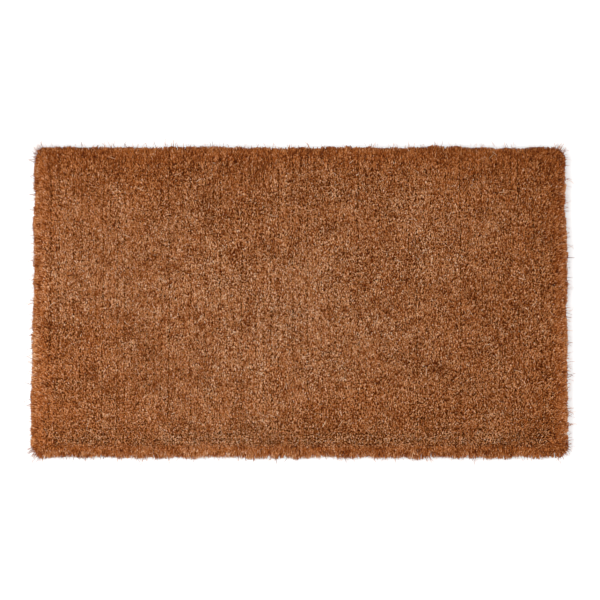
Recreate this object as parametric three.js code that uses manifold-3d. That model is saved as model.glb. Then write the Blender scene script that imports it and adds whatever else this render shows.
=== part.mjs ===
// A door mat of coir, which is coconut-husk fibre: upright pile on a woven base, with a cord sewn round it.
//
// Frame: millimetres, +X along the long side, +Y along the short side, +Z up.
// The origin is on the floor, under the middle of the mat.
//
// From the floor up the mat holds the lower chain yarns, the weft yarn, the upper chain yarns and the pile.
// Chain yarns run along X. The one weft yarn goes back and forth along Y, one pick to each row of pile.
// Every second chain yarn lies under the weft and the others over it, straight and without their crossings.
// The pile is one soft block: its rows are ridges on top, and its roots reach down between the upper yarns.
// The edging cord lies round the base under the pile's overhang, and a twine is whipped round it.

import * as THREE from 'three';
import Module from 'manifold-3d';
import { mergeVertices } from 'three/addons/utils/BufferGeometryUtils.js';

const wasm = await Module();
wasm.setup();

// The whole mat
const MAT_LENGTH = 762;
const MAT_WIDTH = 457;
const MAT_HEIGHT = 30;
const GAP = 0.3;

// The woven base
const ROW_COUNT = 70;
const ROW_PITCH = 10.4;
const CHAIN_COUNT = 29;
const CHAIN_PITCH = 14.6;
const CHAIN_LENGTH = 729;
const CHAIN_WIDTH = 4.4;
const CHAIN_HEIGHT = 3.4;
const CHAIN_FLAT = 2.4;
const WEFT_LENGTH = 420;
const WEFT_WIDTH = 8.8;
const WEFT_HEIGHT = 3.2;
const WEFT_ROUNDING = 0.6;

// The edging cord and its twine
const CORD_SIZE = 8;
const CORD_CHAMFER = 2;
const CORD_INSET = 6.4;
const TWINE_RADIUS = 0.8;
const TWINE_PITCH = 36;
const LONG_SIDE_TURNS = 19;
const SHORT_SIDE_TURNS = 11;

// The pile
const PILE_CORNER_RADIUS = 14;
const PILE_BULGE = 4;
const PILE_SHOULDER = 6;
const PILE_ROUNDING_STEPS = 3;
const PARTING_WIDTH = 2.8;
const PARTING_DEPTH = 1.8;
const COMB_HEIGHT = 3;

// Vertices closer than this are the same corner
const MERGE_DISTANCE = 1e-4;

// Levels, counted up from the floor
const WEFT_BOTTOM = CHAIN_HEIGHT + GAP;
const ROOT_BOTTOM = WEFT_BOTTOM + WEFT_HEIGHT + GAP;
const TWINE_REACH = GAP + 2 * TWINE_RADIUS;
const CORD_BOTTOM = GAP + TWINE_REACH;
const OVERHANG_BOTTOM = CORD_BOTTOM + CORD_SIZE + TWINE_REACH + GAP;

const BASE_LENGTH = ROW_COUNT * ROW_PITCH;
const CORD_X = MAT_LENGTH / 2 - PILE_BULGE - CORD_INSET;
const CORD_Y = MAT_WIDTH / 2 - PILE_BULGE - CORD_INSET;

// Turns that send an extrusion, which starts along +Z, along X or Y with the section's second axis upright.
const ALONG_X = turnTo(new THREE.Vector3(0, 1, 0), new THREE.Vector3(0, 0, 1), new THREE.Vector3(1, 0, 0));
const ALONG_Y = turnTo(new THREE.Vector3(-1, 0, 0), new THREE.Vector3(0, 0, 1), new THREE.Vector3(0, 1, 0));

const PILE_FINISH = new THREE.MeshStandardMaterial({ color: 0x905f3c, roughness: 0.95, metalness: 0 });
const YARN_FINISH = new THREE.MeshStandardMaterial({ color: 0x7d5232, roughness: 0.9, metalness: 0 });
const CORD_FINISH = new THREE.MeshStandardMaterial({ color: 0x94602f, roughness: 0.9, metalness: 0 });
const TWINE_FINISH = new THREE.MeshStandardMaterial({ color: 0xb08a5a, roughness: 0.85, metalness: 0 });

function turnTo(xAxis, yAxis, zAxis) {
  const basis = new THREE.Matrix4().makeBasis(xAxis, yAxis, zAxis);
  return new THREE.Quaternion().setFromRotationMatrix(basis);
}

// Turns a closed three.js geometry into a solid that can be joined and cut.
function solidFrom(geometry) {
  const bare = geometry.clone();
  bare.deleteAttribute('normal');
  bare.deleteAttribute('uv');
  const merged = mergeVertices(bare, MERGE_DISTANCE);
  const vertProperties = new Float32Array(merged.attributes.position.array);
  const triVerts = new Uint32Array(merged.index.array);
  return new wasm.Manifold(new wasm.Mesh({ numProp: 3, vertProperties, triVerts }));
}

function geometryFrom(solid) {
  const { vertProperties, triVerts } = solid.getMesh();
  const geometry = new THREE.BufferGeometry();
  geometry.setAttribute('position', new THREE.BufferAttribute(new Float32Array(vertProperties), 3));
  geometry.setIndex(new THREE.BufferAttribute(new Uint32Array(triVerts), 1));
  return geometry;
}

function namedMesh(name, geometry, finish) {
  const mesh = new THREE.Mesh(geometry, finish.clone());
  mesh.name = name;
  return mesh;
}

// Extrudes an outline by length, centred on its own middle.
function centredExtrusion(outline, length) {
  const geometry = new THREE.ExtrudeGeometry(outline, { depth: length, steps: 1, bevelEnabled: false });
  return geometry.translate(0, 0, -length / 2);
}

// A straight yarn's section: six sides, flat on top and below, standing on y = 0.
function chainSection() {
  const half = CHAIN_WIDTH / 2;
  const flat = CHAIN_FLAT / 2;
  return new THREE.Shape([
    new THREE.Vector2(-flat, 0),
    new THREE.Vector2(flat, 0),
    new THREE.Vector2(half, CHAIN_HEIGHT / 2),
    new THREE.Vector2(flat, CHAIN_HEIGHT),
    new THREE.Vector2(-flat, CHAIN_HEIGHT),
    new THREE.Vector2(-half, CHAIN_HEIGHT / 2),
  ]);
}

function chainY(index) {
  return (index - (CHAIN_COUNT - 1) / 2) * CHAIN_PITCH;
}

// Counting from zero, the even yarns lie on the floor and the odd ones lie over the weft.
function isUpperChain(index) {
  return index % 2 === 1;
}

function chainYarns() {
  const group = new THREE.Group();
  const geometry = centredExtrusion(chainSection(), CHAIN_LENGTH);
  for (let index = 0; index < CHAIN_COUNT; index += 1) {
    const name = `chain_yarn_${String(index + 1).padStart(2, '0')}`;
    const yarn = namedMesh(name, geometry, YARN_FINISH);
    yarn.quaternion.copy(ALONG_X);
    yarn.position.set(0, chainY(index), isUpperChain(index) ? ROOT_BOTTOM : 0);
    group.add(yarn);
  }
  return group;
}

// The weft's plan: straight picks along Y, each joined to the next by a turn at alternate ends.
function weftPlan() {
  const half = WEFT_WIDTH / 2;
  const end = WEFT_LENGTH / 2;
  const turn = end - WEFT_WIDTH;
  const pickX = (pick) => (pick - (ROW_COUNT - 1) / 2) * ROW_PITCH;
  const points = [new THREE.Vector2(pickX(0) - half, -end)];
  const addSlot = (fromX, toX, side) => {
    points.push(new THREE.Vector2(fromX, -side * end));
    points.push(new THREE.Vector2(fromX, side * turn));
    points.push(new THREE.Vector2(toX, side * turn));
    points.push(new THREE.Vector2(toX, -side * end));
  };
  for (let pick = 0; pick < ROW_COUNT - 1; pick += 2) {
    addSlot(pickX(pick) + half, pickX(pick + 1) - half, 1);
  }
  points.push(new THREE.Vector2(pickX(ROW_COUNT - 1) + half, -end));
  points.push(new THREE.Vector2(pickX(ROW_COUNT - 1) + half, end));
  for (let pick = ROW_COUNT - 3; pick > 0; pick -= 2) {
    addSlot(pickX(pick + 1) - half, pickX(pick) + half, -1);
  }
  points.push(new THREE.Vector2(pickX(0) - half, end));
  return new THREE.Shape(points);
}

function weftYarn() {
  const geometry = new THREE.ExtrudeGeometry(weftPlan(), {
    depth: WEFT_HEIGHT - 2 * WEFT_ROUNDING,
    bevelEnabled: true,
    bevelThickness: WEFT_ROUNDING,
    bevelSize: WEFT_ROUNDING,
    bevelOffset: -WEFT_ROUNDING,
    bevelSegments: 1,
  });
  const weft = namedMesh('weft_yarn', geometry, YARN_FINISH);
  weft.position.z = WEFT_BOTTOM + WEFT_ROUNDING;
  return weft;
}

// The edging cord's section: a square with its corners taken off, centred on its own middle.
function cordSection() {
  const half = CORD_SIZE / 2;
  const flat = half - CORD_CHAMFER;
  return new THREE.Shape([
    new THREE.Vector2(-flat, -half),
    new THREE.Vector2(flat, -half),
    new THREE.Vector2(half, -flat),
    new THREE.Vector2(half, flat),
    new THREE.Vector2(flat, half),
    new THREE.Vector2(-flat, half),
    new THREE.Vector2(-half, flat),
    new THREE.Vector2(-half, -flat),
  ]);
}

// The twine goes round the cord in square turns. Each straight run moves a quarter of a pitch along it.
function whippingPath(turns) {
  const reach = CORD_SIZE / 2 + GAP + TWINE_RADIUS;
  const corners = [[-reach, -reach], [reach, -reach], [reach, reach], [-reach, reach]];
  const path = new THREE.CurvePath();
  const pointAt = (run) => {
    const [across, up] = corners[run % corners.length];
    const along = (run / corners.length - turns / 2) * TWINE_PITCH;
    return new THREE.Vector3(across, up, along);
  };
  for (let run = 0; run < turns * corners.length; run += 1) {
    path.add(new THREE.LineCurve3(pointAt(run), pointAt(run + 1)));
  }
  return path;
}

function whippingTwine(turns) {
  const corner = Math.SQRT1_2 * TWINE_RADIUS;
  const section = new THREE.Shape([
    new THREE.Vector2(-corner, -corner),
    new THREE.Vector2(corner, -corner),
    new THREE.Vector2(corner, corner),
    new THREE.Vector2(-corner, corner),
  ]);
  const path = whippingPath(turns);
  return new THREE.ExtrudeGeometry(section, { extrudePath: path, steps: path.curves.length });
}

// One side's cord and twine, made along Z and then turned and moved as one group.
function edgingSide(side, length, turns, quaternion, position) {
  const group = new THREE.Group();
  group.add(namedMesh(`edging_cord_${side}`, centredExtrusion(cordSection(), length), CORD_FINISH));
  group.add(namedMesh(`sewing_twine_${side}`, whippingTwine(turns), TWINE_FINISH));
  group.quaternion.copy(quaternion);
  group.position.copy(position);
  return group;
}

function edging() {
  const group = new THREE.Group();
  const height = CORD_BOTTOM + CORD_SIZE / 2;
  const longSide = 2 * CORD_X + CORD_SIZE;
  const shortSide = 2 * CORD_Y - CORD_SIZE - 2 * GAP;
  const front = new THREE.Vector3(0, -CORD_Y, height);
  const back = new THREE.Vector3(0, CORD_Y, height);
  const left = new THREE.Vector3(-CORD_X, 0, height);
  const right = new THREE.Vector3(CORD_X, 0, height);
  group.add(edgingSide('front', longSide, LONG_SIDE_TURNS, ALONG_X, front));
  group.add(edgingSide('back', longSide, LONG_SIDE_TURNS, ALONG_X, back));
  group.add(edgingSide('left', shortSide, SHORT_SIDE_TURNS, ALONG_Y, left));
  group.add(edgingSide('right', shortSide, SHORT_SIDE_TURNS, ALONG_Y, right));
  return group;
}

function roundedRectangle(length, width, radius) {
  const x = length / 2;
  const y = width / 2;
  const shape = new THREE.Shape();
  shape.moveTo(radius - x, -y);
  shape.lineTo(x - radius, -y);
  shape.absarc(x - radius, radius - y, radius, -Math.PI / 2, 0, false);
  shape.lineTo(x, y - radius);
  shape.absarc(x - radius, y - radius, radius, 0, Math.PI / 2, false);
  shape.lineTo(radius - x, y);
  shape.absarc(radius - x, y - radius, radius, Math.PI / 2, Math.PI, false);
  shape.lineTo(-x, radius - y);
  shape.absarc(radius - x, radius - y, radius, Math.PI, 1.5 * Math.PI, false);
  return shape;
}

// The tufts above the base: widest at half their height, rounded in towards the top and the underside.
function pileCrown() {
  const outline = roundedRectangle(MAT_LENGTH, MAT_WIDTH, PILE_CORNER_RADIUS);
  const geometry = new THREE.ExtrudeGeometry(outline, {
    depth: MAT_HEIGHT - OVERHANG_BOTTOM - 2 * PILE_SHOULDER,
    curveSegments: 3,
    bevelEnabled: true,
    bevelThickness: PILE_SHOULDER,
    bevelSize: PILE_BULGE,
    bevelOffset: -PILE_BULGE,
    bevelSegments: PILE_ROUNDING_STEPS,
  });
  return solidFrom(geometry.translate(0, 0, OVERHANG_BOTTOM + PILE_SHOULDER));
}

// The tufts' roots inside the base, from the weft's top up into the crown.
function pileRoots() {
  const height = OVERHANG_BOTTOM + PILE_SHOULDER - ROOT_BOTTOM;
  const block = new THREE.BoxGeometry(BASE_LENGTH, WEFT_LENGTH, height);
  return solidFrom(block.translate(0, 0, ROOT_BOTTOM + height / 2));
}

// What each upper chain yarn takes out of the roots.
function chainChannel(index) {
  const height = CHAIN_HEIGHT + 2 * GAP;
  const channel = new THREE.BoxGeometry(MAT_LENGTH, CHAIN_WIDTH + 2 * GAP, height);
  return solidFrom(channel.translate(0, chainY(index), ROOT_BOTTOM - GAP + height / 2));
}

// A comb whose teeth press a V-shaped parting between each two rows. Its flat underside clears the pile by GAP.
function partingComb() {
  const back = MAT_LENGTH / 2;
  const half = (PARTING_WIDTH / 2) * (1 + GAP / PARTING_DEPTH);
  const points = [new THREE.Vector2(back, COMB_HEIGHT), new THREE.Vector2(-back, COMB_HEIGHT)];
  for (let parting = 1; parting < ROW_COUNT; parting += 1) {
    const x = (parting - ROW_COUNT / 2) * ROW_PITCH;
    points.push(new THREE.Vector2(x - half, GAP));
    points.push(new THREE.Vector2(x, -PARTING_DEPTH));
    points.push(new THREE.Vector2(x + half, GAP));
  }
  const comb = centredExtrusion(new THREE.Shape(points), MAT_WIDTH + 2 * GAP);
  comb.applyQuaternion(ALONG_Y);
  return solidFrom(comb.translate(0, 0, MAT_HEIGHT));
}

function pile() {
  let tufts = pileCrown().add(pileRoots());
  for (let index = 0; index < CHAIN_COUNT; index += 1) {
    if (isUpperChain(index)) {
      tufts = tufts.subtract(chainChannel(index));
    }
  }
  return namedMesh('pile', geometryFrom(tufts.subtract(partingComb())), PILE_FINISH);
}

const doorMat = new THREE.Group();
doorMat.add(chainYarns());
doorMat.add(weftYarn());
doorMat.add(edging());
doorMat.add(pile());

export default doorMat;
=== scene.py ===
# %% [markdown]
# # A coir door mat
# This lesson builds a thick hand-woven door mat. Coir is the fibre of coconut husks. On the real mat,
# tufts of it stand upright in close rows, and a woven base of coir yarn holds their roots. A plaited
# cord is sewn round the base so that it can't unravel. The CAD model gives the size and place of every
# piece. This script gives each piece its real surface: fibres that can be seen one by one, twisted
# yarn, a plait, and a finish for each.

import math

import bpy
import numpy as np
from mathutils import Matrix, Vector


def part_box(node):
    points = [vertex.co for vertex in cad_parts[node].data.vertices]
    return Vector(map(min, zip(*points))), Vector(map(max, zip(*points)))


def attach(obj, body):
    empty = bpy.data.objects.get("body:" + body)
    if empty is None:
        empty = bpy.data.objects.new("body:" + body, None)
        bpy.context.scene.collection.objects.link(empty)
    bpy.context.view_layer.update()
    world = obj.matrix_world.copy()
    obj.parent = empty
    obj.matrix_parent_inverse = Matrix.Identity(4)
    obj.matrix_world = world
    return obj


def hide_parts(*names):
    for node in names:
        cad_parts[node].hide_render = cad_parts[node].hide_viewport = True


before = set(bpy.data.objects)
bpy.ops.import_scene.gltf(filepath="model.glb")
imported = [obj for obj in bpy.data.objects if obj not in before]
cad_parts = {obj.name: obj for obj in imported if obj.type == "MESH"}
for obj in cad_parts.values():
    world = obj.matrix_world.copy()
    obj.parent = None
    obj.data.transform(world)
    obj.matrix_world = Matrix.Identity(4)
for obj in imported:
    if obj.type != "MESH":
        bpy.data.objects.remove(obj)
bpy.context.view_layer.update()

# %% [markdown]
# ## Sizes
# Everything is in metres. Places come from the CAD nodes, so a piece can't drift away from the part it
# stands for. Only what the CAD leaves out is given here, such as how thick a tuft of fibre is.

# %% Sizes and random numbers
MM = 0.001
SEED = 11

ROW_COUNT = 70
pile_low, pile_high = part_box("pile")
weft_low, weft_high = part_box("weft_yarn")
PICK_WIDTH = 8.8 * MM
ROW_PITCH = (weft_high.x - weft_low.x - PICK_WIDTH) / (ROW_COUNT - 1)
FLOOR = 0.0
PILE_TOP = pile_high.z


def draws(piece_number):
    """A random number generator that depends only on the piece, so adding a piece changes no other."""
    return np.random.default_rng([SEED, piece_number])


print("row pitch, mm:", round(ROW_PITCH / MM, 3), "pile top, mm:", round(PILE_TOP / MM, 2))

# %% [markdown]
# ## Camera
# The mat is seen from almost overhead by a camera far away, which keeps its sides nearly parallel. A
# long lens from far away is chosen over a wide one from close by, because a wide one would show the
# fibres' sides near the frame's edges and their tips in the middle.

# %% Camera
CAMERA_TILT = math.radians(15.6)
CAMERA_DISTANCE = 8.2
VIEW_WIDTH = 0.856
SENSOR_WIDTH = 36.0
AIM = Vector((0, 0.0016, 0.015))
FAR_LIMIT = 50

camera_data = bpy.data.cameras.new("camera")
camera_data.sensor_width = SENSOR_WIDTH
camera_data.lens = SENSOR_WIDTH * CAMERA_DISTANCE / VIEW_WIDTH
camera_data.clip_end = FAR_LIMIT
camera = bpy.data.objects.new("camera", camera_data)
away = Vector((0, -math.sin(CAMERA_TILT), math.cos(CAMERA_TILT)))
camera.location = AIM + away * CAMERA_DISTANCE
camera.rotation_mode = "QUATERNION"
camera.rotation_quaternion = (-away).to_track_quat("-Z", "Y")
bpy.context.scene.collection.objects.link(camera)
bpy.context.scene.camera = camera
print("lens, mm:", round(camera_data.lens, 1))

# %% [markdown]
# ## Floor and light
# One large soft lamp stands to the left and in front, so the left of the mat is a little brighter and a
# faint shadow falls on the right. A weak lamp, low on the right, keeps the right-hand edge from going
# dull, and a pale sky fills in the rest. The floor looks white to the camera, but it lights the mat as
# light-grey paper would.


# %% Node helpers
def new_material(name):
    """A material and its node tree, emptied for a new shader."""
    material = bpy.data.materials.new(name)
    material.use_nodes = True
    material.node_tree.nodes.clear()
    return material, material.node_tree


def add_node(tree, kind, inputs=(), **settings):
    """Adds a node and sets its properties. An input whose value is another node's output gets a link, and any
    other value is set on the input itself."""
    node = tree.nodes.new(kind)
    for key, value in settings.items():
        setattr(node, key, value)
    for key, value in dict(inputs).items():
        if isinstance(value, bpy.types.NodeSocket):
            tree.links.new(value, node.inputs[key])
        else:
            node.inputs[key].default_value = value
    return node


# %% Floor, sky and lamps
FLOOR_SIZE = 12.0
PAPER = (0.8, 0.8, 0.8, 1)
WHITE = (1, 1, 1, 1)
SKY_STRENGTH = 0.42
KEY_PLACE = Vector((-0.68, -0.55, 1.90))
KEY_SIZE = 1.8
KEY_POWER = 48
FILL_PLACE = Vector((1.50, -0.10, 1.00))
FILL_SIZE = 1.2
FILL_POWER = 10
GLOW = 0.34


def paper_material():
    """Light-grey paper that adds a little of its own light for the camera and for reflections only."""
    material, tree = new_material("white_paper")
    rays = add_node(tree, "ShaderNodeLightPath").outputs
    either = {0: rays["Is Camera Ray"], 1: rays["Is Glossy Ray"]}
    seen = add_node(tree, "ShaderNodeMath", either, operation="MAXIMUM").outputs[0]
    plain = add_node(tree, "ShaderNodeBsdfDiffuse", {"Color": PAPER}).outputs[0]
    glow = add_node(tree, "ShaderNodeEmission", {"Color": WHITE, "Strength": GLOW}).outputs[0]
    both = add_node(tree, "ShaderNodeAddShader", {0: plain, 1: glow}).outputs[0]
    choice = add_node(tree, "ShaderNodeMixShader", {0: seen, 1: plain, 2: both}).outputs[0]
    add_node(tree, "ShaderNodeOutputMaterial", {"Surface": choice})
    return material


def make_floor():
    """A wide square of paper under the mat."""
    half = FLOOR_SIZE / 2
    mesh = bpy.data.meshes.new("floor")
    corners = [(-half, -half, FLOOR), (half, -half, FLOOR), (half, half, FLOOR), (-half, half, FLOOR)]
    mesh.from_pydata(corners, [], [(0, 1, 2, 3)])
    mesh.materials.append(paper_material())
    floor = bpy.data.objects.new("floor", mesh)
    bpy.context.scene.collection.objects.link(floor)


def make_sky():
    """A white sky for the camera, and a dimmer one that only lights."""
    world = bpy.data.worlds.new("sky")
    world.use_nodes = True
    tree = world.node_tree
    tree.nodes.clear()
    ray = add_node(tree, "ShaderNodeLightPath").outputs["Is Camera Ray"]
    light = add_node(tree, "ShaderNodeBackground", {"Color": WHITE, "Strength": SKY_STRENGTH}).outputs[0]
    seen = add_node(tree, "ShaderNodeBackground", {"Color": WHITE}).outputs[0]
    choice = add_node(tree, "ShaderNodeMixShader", {0: ray, 1: light, 2: seen}).outputs[0]
    add_node(tree, "ShaderNodeOutputWorld", {"Surface": choice})
    bpy.context.scene.world = world


def make_lamp(name, place, size, power):
    """A square lamp that faces the middle of the mat."""
    data = bpy.data.lights.new(name, "AREA")
    data.shape = "SQUARE"
    data.size = size
    data.energy = power
    lamp = bpy.data.objects.new(name, data)
    lamp.location = place
    lamp.rotation_mode = "QUATERNION"
    lamp.rotation_quaternion = (-place).to_track_quat("-Z", "Y")
    bpy.context.scene.collection.objects.link(lamp)


make_floor()
make_sky()
make_lamp("key_lamp", KEY_PLACE, KEY_SIZE, KEY_POWER)
make_lamp("fill_lamp", FILL_PLACE, FILL_SIZE, FILL_POWER)
bpy.context.scene.view_settings.view_transform = "Standard"
print("lamps, watts:", KEY_POWER, FILL_POWER)

# %% [markdown]
# ## Colours of coir
# Coir isn't one brown. A hank holds dark, red, golden and straw-coloured fibres. Each fibre carries a
# tone from 0 to 1 as a mesh attribute, and a colour ramp turns the tone into one of those browns.
# Fibres are painted darker towards the root and paler at the cut tip, as painted shade in the deep pile.
# Fibres that flare out at the mat's edge are more orange, because they show their long sides and not
# their cut ends.

# %% Coir materials
COIR_RAMP = (
    (0.00, (0.085, 0.009, 0.001)),
    (0.22, (0.318, 0.063, 0.005)),
    (0.50, (0.622, 0.263, 0.088)),
    (0.78, (0.827, 0.476, 0.243)),
    (1.00, (0.957, 0.740, 0.510)),
)
# Painted shade: towards the root the fibres are darkened by this colour.
ROOT_SHADE_COLOUR = (0.365, 0.077, 0.007, 1)
SHADE_BELOW = 0.55
EDGE_ORANGE = (0.600, 0.200, 0.045, 1)
SPLIT = (1900, 1900, 240)
SPLIT_DETAIL = 2
SPLIT_NOISE = (0.3, 0.7)
SPLIT_SHADES = (0.72, 1.24)
PILE_ROUGHNESS = (0.55, 0.85)
PILE_SHEEN = 0.02
PILE_BUMP = (0.5, 0.2 * MM)
DRY_SPECULAR = 0.03
SHEEN_ROUGHNESS = 0.6


def attribute_value(tree, name):
    """Reads one number that the mesh stores under this name."""
    return add_node(tree, "ShaderNodeAttribute", attribute_name=name).outputs["Fac"]


def colour_ramp(tree, value, stops):
    """Turns a number into a colour. A stop is a place from 0 to 1 and the colour there."""
    ramp = add_node(tree, "ShaderNodeValToRGB", {"Fac": value})
    elements = ramp.color_ramp.elements
    while len(elements) < len(stops):
        elements.new(1)
    for element, (place, colour) in zip(elements, stops):
        element.position = place
        element.color = (*colour, 1)
    return ramp.outputs["Color"]


def map_range(tree, value, old, new):
    """Carries a number from one range over to another."""
    names = ("Value", "From Min", "From Max", "To Min", "To Max")
    return add_node(tree, "ShaderNodeMapRange", zip(names, (value, *old, *new))).outputs["Result"]


def tinted(tree, factor, base, tint, blend="MIX"):
    """Blends a fixed tint into a colour by a factor."""
    inputs = {"Factor": factor, "A": base, "B": tint}
    return add_node(tree, "ShaderNodeMix", inputs, data_type="RGBA", blend_type=blend).outputs["Result"]


def stretched_noise(tree, scale, detail):
    """Noise in object space, with a scale of its own along each axis."""
    where = add_node(tree, "ShaderNodeTexCoord").outputs["Object"]
    squeezed = add_node(tree, "ShaderNodeMapping", {"Vector": where, "Scale": scale}).outputs[0]
    inputs = {"Vector": squeezed, "Scale": 1.0, "Detail": detail}
    return add_node(tree, "ShaderNodeTexNoise", inputs).outputs["Fac"]


def coir_shader(tree, colour, roughness, sheen):
    """Dry plant fibre: a matt shader with a weak highlight and a soft bloom of fuzz."""
    inputs = {
        "Base Color": colour,
        "Roughness": roughness,
        "Specular IOR Level": DRY_SPECULAR,
        "Sheen Weight": sheen,
        "Sheen Roughness": SHEEN_ROUGHNESS,
    }
    shader = add_node(tree, "ShaderNodeBsdfPrincipled", inputs)
    add_node(tree, "ShaderNodeOutputMaterial", {"Surface": shader.outputs[0]})
    return shader


def add_bumps(tree, shader, height, strength, distance):
    """Makes a shader's surface rise and fall with a height."""
    inputs = {"Height": height, "Strength": strength, "Distance": distance}
    bump = add_node(tree, "ShaderNodeBump", inputs)
    tree.links.new(bump.outputs["Normal"], shader.inputs["Normal"])


def pile_material():
    """Tone picks the brown, painted shade darkens the fibre towards its root by the distance along it, and
    the edge turns it orange. A noise drawn out upwards splits each fibre into finer ones, in its colour,
    its gloss and its bumps."""
    material, tree = new_material("pile_fibre")
    colour = colour_ramp(tree, attribute_value(tree, "tone"), COIR_RAMP)
    colour = tinted(tree, attribute_value(tree, "edge"), colour, EDGE_ORANGE)
    # Painted shade: the colour darkens towards the root of each fibre.
    root_shade = map_range(tree, attribute_value(tree, "along"), (SHADE_BELOW, 1), (1, 0))
    colour = tinted(tree, root_shade, colour, ROOT_SHADE_COLOUR, "MULTIPLY")
    noise = stretched_noise(tree, SPLIT, SPLIT_DETAIL)
    inputs = {0: colour, "Scale": map_range(tree, noise, SPLIT_NOISE, SPLIT_SHADES)}
    split = add_node(tree, "ShaderNodeVectorMath", inputs, operation="SCALE").outputs[0]
    shader = coir_shader(tree, split, map_range(tree, noise, (0, 1), PILE_ROUGHNESS), PILE_SHEEN)
    add_bumps(tree, shader, noise, *PILE_BUMP)
    return material


pile_finish = pile_material()
print("pile material:", pile_finish.name, "with", len(COIR_RAMP), "browns")

# %% [markdown]
# ## One fibre
# A coir fibre is a stiff hair with a cut end. A real mat holds millions of them, so each one here
# stands for a few that cling together. It is a three-sided spike that starts from a point at its root,
# where nobody sees it, and ends in a small flat triangle, where the shears cut it. That closed shape
# has only four faces. Fibres that bend have more rings along their length. Each kind is a table: the
# rings' places, their widths and their light.


# %% A fibre's surface
SIDES = 3
CUT = np.array([[1.0], [1.0], [1.0]])
BENT = np.array([[0.58, 1.0], [1.0, 0.85], [0.70, 1.0]])
HAIR = np.array([[0.25, 0.50, 0.75, 1.0], [1.0, 0.9, 0.75, 0.5], [0.9, 1.0, 1.0, 1.0]])
SKEW = np.array([0.12, 0.96, 0.25])
SHAFT = 0.8


def fibre_points(root, tip, bow, width, turn, kind):
    """The ring at share s of fibre n has its centre at root + s (tip - root) + 4 s (1 - s) bow, and its
    point at angle a is centre + half width (cos a across + sin a up). The root is a single point. A
    kind of fibre gives each ring's share s, its part of the full width, and how much light reaches
    it."""
    places, widths, _ = kind
    line = tip - root
    axis = line / np.linalg.norm(line, axis=1, keepdims=True)
    across = np.cross(axis, SKEW)
    across /= np.linalg.norm(across, axis=1, keepdims=True)
    up = np.cross(axis, across)
    s = places[None, :, None]
    centre = root[:, None] + s * line[:, None] + 4 * s * (1 - s) * bow[:, None]
    angle = turn[:, None] + np.arange(SIDES) * (2 * np.pi / SIDES)
    ring = np.cos(angle)[..., None] * across[:, None] + np.sin(angle)[..., None] * up[:, None]
    half = 0.5 * width[:, None] * widths
    rings = centre[:, :, None] + half[..., None, None] * ring[:, None]
    return np.concatenate([root[:, None], rings.reshape(len(root), -1, 3)], axis=1)


def fibre_template(kind):
    """One fibre's triangles, from the root point to the cut end, and where their corners lie in its
    cell of the map: the shaft runs along the cell, and the cut end takes the last part."""
    places = kind[0]
    triangles, corners = [], []
    for side in range(SIDES):
        low, high = side / SIDES, (side + 1) / SIDES
        here, there = 1 + side, 1 + (side + 1) % SIDES
        first = SHAFT * places[0]
        triangles.append((0, there, here))
        corners.append(((0, (low + high) / 2), (first, high), (first, low)))
        for ring in range(len(places) - 1):
            a, b = here + ring * SIDES, there + ring * SIDES
            near, far = SHAFT * places[ring], SHAFT * places[ring + 1]
            triangles += [(a, b, b + SIDES), (a, b + SIDES, a + SIDES)]
            corners.append(((near, low), (near, high), (far, high)))
            corners.append(((near, low), (far, high), (far, low)))
    last = 1 + (len(places) - 1) * SIDES
    triangles.append((last, last + 1, last + 2))
    corners.append(((SHAFT, 0), (SHAFT, 1), (1, 0.5)))
    return np.array(triangles), np.array(corners, float)


# %% From arrays to a mesh
CELL_FILL = 0.86


def add_piece(name, points, triangles, material, values=(), maps=()):
    """Puts whole arrays into a mesh: values are named numbers for each vertex, maps are named UV maps."""
    mesh = bpy.data.meshes.new(name)
    mesh.vertices.add(len(points))
    mesh.vertices.foreach_set("co", np.ascontiguousarray(points, np.float32).ravel())
    mesh.loops.add(triangles.size)
    mesh.loops.foreach_set("vertex_index", np.ascontiguousarray(triangles, np.int32).ravel())
    mesh.polygons.add(len(triangles))
    mesh.polygons.foreach_set("loop_start", np.arange(0, triangles.size, 3, dtype=np.int32))
    for key, value in dict(values).items():
        layer = mesh.attributes.new(key, "FLOAT", "POINT")
        layer.data.foreach_set("value", np.ascontiguousarray(value, np.float32).ravel())
    for key, value in dict(maps).items():
        layer = mesh.uv_layers.new(name=key)
        layer.data.foreach_set("uv", np.ascontiguousarray(value, np.float32).ravel())
    mesh.update()
    mesh.validate()
    mesh.materials.append(material)
    piece = bpy.data.objects.new(name, mesh)
    bpy.context.scene.collection.objects.link(piece)
    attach(piece, "root")
    return piece


def add_fibres(name, root, tip, bow, width, tone, edge, rng, kind):
    """One piece of the pile. Each fibre has its own cell of the UV map, in order of tone, and every
    second cell is turned round, so that pale ends lie beside pale ends and dark roots beside dark
    roots."""
    order = np.argsort(tone)
    root, tip, bow, width, tone, edge = (a[order] for a in (root, tip, bow, width, tone, edge))
    count = len(root)
    points = fibre_points(root, tip, bow, width, rng.uniform(0, 2 * np.pi, count), kind)
    one_fibre, one_cell = fibre_template(kind)
    per_fibre = points.shape[1]
    triangles = (np.arange(count)[:, None, None] * per_fibre + one_fibre[None]).reshape(-1, 3)
    columns = math.ceil(math.sqrt(count))
    column, line = np.arange(count) % columns, np.arange(count) // columns
    inside = np.repeat(one_cell[None], count, axis=0)
    turned = column % 2 == 1
    inside[turned, ..., 0] = 1 - inside[turned, ..., 0]
    margin = (1 - CELL_FILL) / 2
    uv = (np.stack([column, line], axis=1)[:, None, None] + margin + CELL_FILL * inside) / columns
    values = {
        "tone": np.repeat(tone, per_fibre),
        "edge": np.repeat(edge, per_fibre),
        "along": np.tile(np.concatenate([[0], np.repeat(kind[2], SIDES)]), count),
    }
    piece = add_piece(name, points.reshape(-1, 3), triangles, pile_finish, values, {"OFBake": uv})
    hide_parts("pile")
    return piece


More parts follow.
